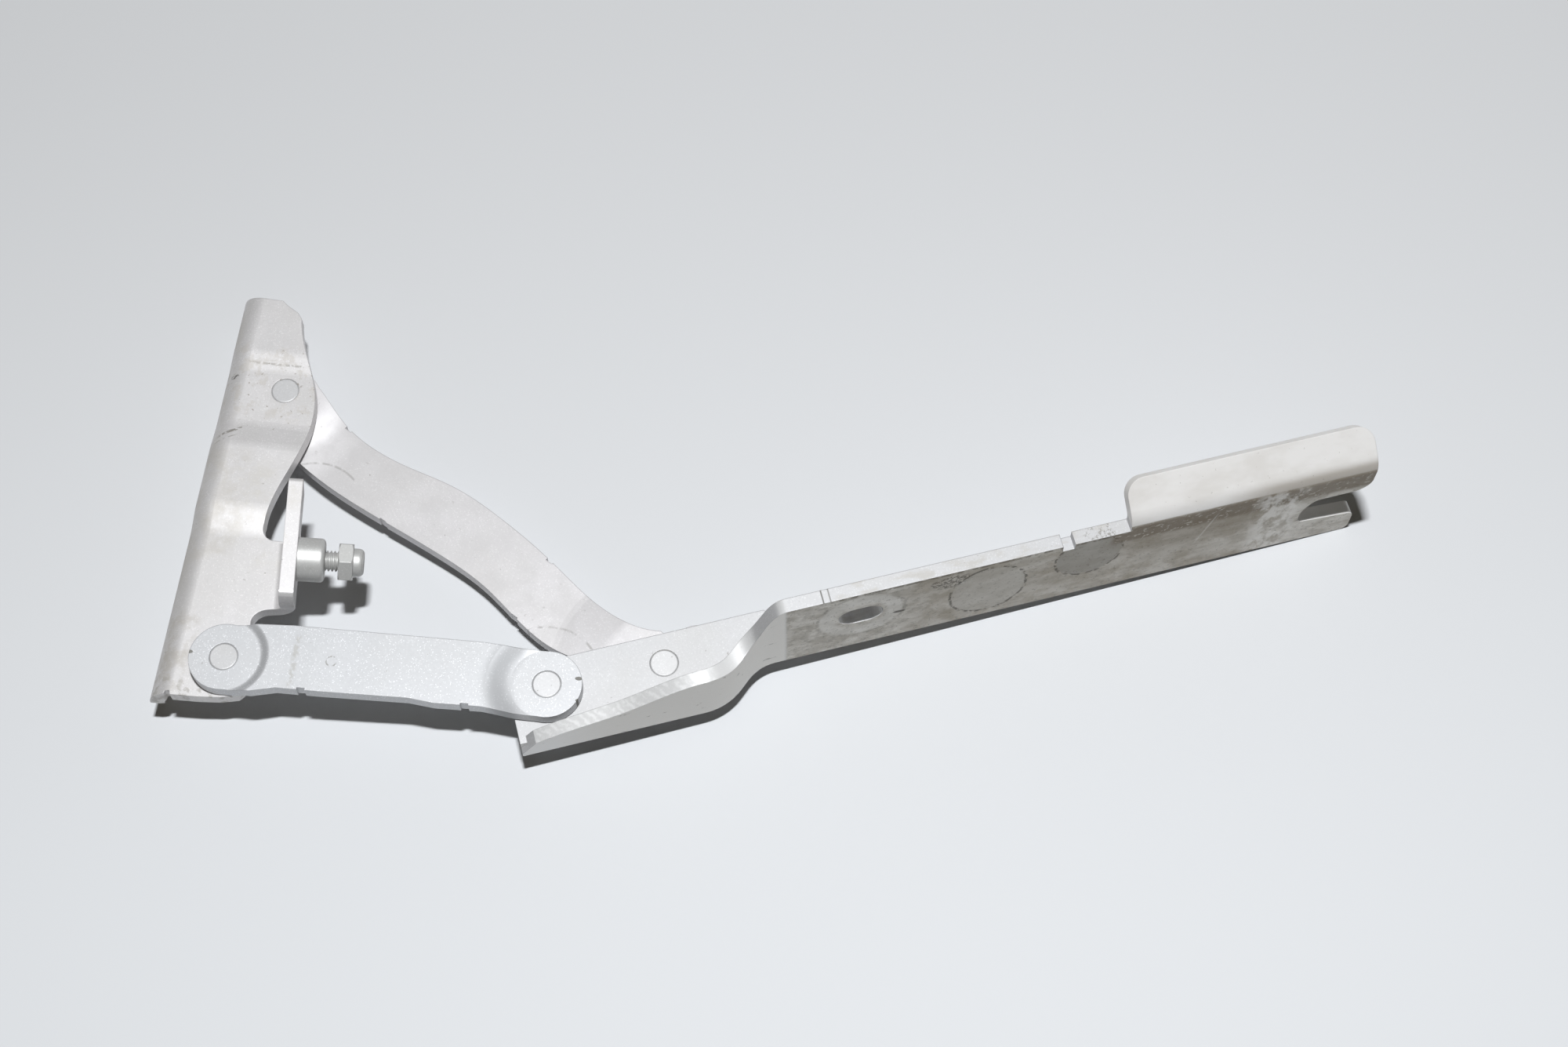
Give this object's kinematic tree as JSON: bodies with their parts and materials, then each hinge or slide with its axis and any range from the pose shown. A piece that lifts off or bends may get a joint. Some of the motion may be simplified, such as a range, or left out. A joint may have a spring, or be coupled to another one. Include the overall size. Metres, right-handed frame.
{
  "type": "bonnet hinge",
  "caption": "Four-bar bonnet hinge of pressed steel: body bracket with an adjustable stop, a pair of riveted links and a slotted bonnet arm.",
  "frame": {"origin": "On the body bracket's mounting face, midway between its two bolt holes.", "axes": "+X runs along the bonnet arm towards its free end, +Z is parallel to the four pivots and points up as the hinge lies in the picture, +Y runs from the bonnet arm's mounting face to its back."},
  "size_m": [0.3394, 0.1612, 0.0584],
  "materials": {
    "bracket_paint": "satin silver-white paint over pressed steel",
    "upper_link_paint": "satin silver-white paint over pressed steel",
    "lower_link_paint": "satin silver paint over pressed steel",
    "arm_paint": "satin silver-white paint over grey electrocoat, worn on the bonnet face",
    "rivet_paint": "satin silver-white paint over steel",
    "stop_paint": "satin silver-white paint over turned steel",
    "washer_steel": "plain turned steel",
    "bush_liner": "bronze with a dark dry lining",
    "insert_plastic": "natural nylon"
  },
  "bodies": {
    "body_side": {"body_bracket": "bracket_paint", "stop_boss": "stop_paint", "stop_screw": "stop_paint", "stop_lock_nut": "stop_paint", "stop_nut_insert": "insert_plastic", "upper_body_rivet": "rivet_paint", "upper_body_washer": "washer_steel", "lower_body_bush": "bush_liner"},
    "lower_link_side": {"lower_link": "lower_link_paint", "lower_body_rivet": "rivet_paint", "lower_body_washer": "washer_steel", "lower_arm_rivet": "rivet_paint", "lower_arm_washer": "washer_steel"},
    "upper_link_side": {"upper_link": "upper_link_paint", "upper_body_bush": "bush_liner"},
    "bonnet_side": {"bonnet_arm": "arm_paint", "lower_arm_bush": "bush_liner", "upper_arm_rivet": "rivet_paint", "upper_arm_washer": "washer_steel", "upper_arm_bush": "bush_liner"}
  },
  "joints": [
    {"name": "lower_link_turn", "type": "hinge", "parent": "body_side", "child": "lower_link_side", "pos_m": [0.00031, -0.05586, 0.009], "axis": [0, 0, 1], "range_deg": [-69.5, 0]},
    {"name": "bonnet_arm_turn", "type": "hinge", "parent": "lower_link_side", "child": "bonnet_side", "pos_m": [0.08443, -0.08614, 0.009], "axis": [0, 0, 1], "range_deg": [0, 135.6]},
    {"name": "upper_link_turn", "type": "hinge", "parent": "body_side", "child": "upper_link_side", "pos_m": [0.03008, 0.02462, 0.009], "axis": [0, 0, 1], "range_deg": [-44.5, 0]}
  ],
  "couplings": [
    {"joint": "bonnet_arm_turn", "follows": "lower_link_turn", "ratio": -1.9496},
    {"joint": "upper_link_turn", "follows": "lower_link_turn", "ratio": 0.6394}
  ]
}
